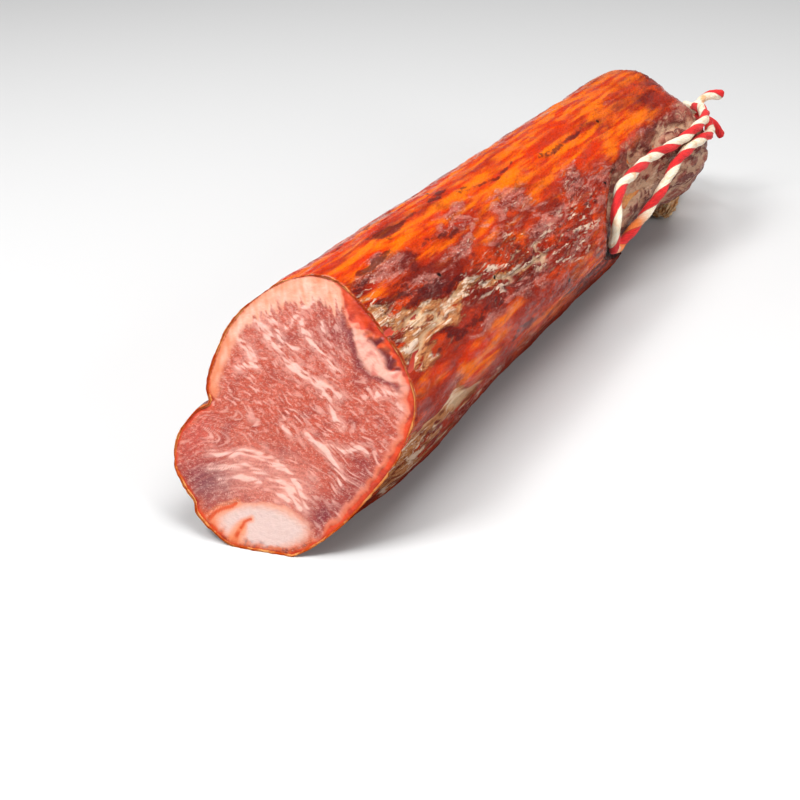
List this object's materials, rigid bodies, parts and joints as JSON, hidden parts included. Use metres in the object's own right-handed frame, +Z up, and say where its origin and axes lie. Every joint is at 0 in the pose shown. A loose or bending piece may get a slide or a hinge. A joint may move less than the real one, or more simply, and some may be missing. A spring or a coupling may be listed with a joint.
{
  "type": "cured pork loin",
  "caption": "Cured pork loin in its dried casing, cut on a slant at the near end and tied with twine at the other, with a hanging loop lying on its flank.",
  "frame": {"origin": "on the surface that the loin lies on, under the middle of its box without the free hanging loop", "axes": "+Y along the loin, away from the cut face; +X to the right of somebody who looks at the cut face; +Z up"},
  "size_m": [0.0734, 0.3686, 0.0747],
  "materials": {
    "meat": "moist, marbled with fat",
    "casing": "oiled, wrinkled",
    "twine": "twisted cotton in two colours"
  },
  "bodies": {
    "root": {"meat": "meat", "casing": "casing", "twine_binding": "twine", "twine_knot": "twine", "twine_hanging_loop": "twine"}
  },
  "joints": []
}
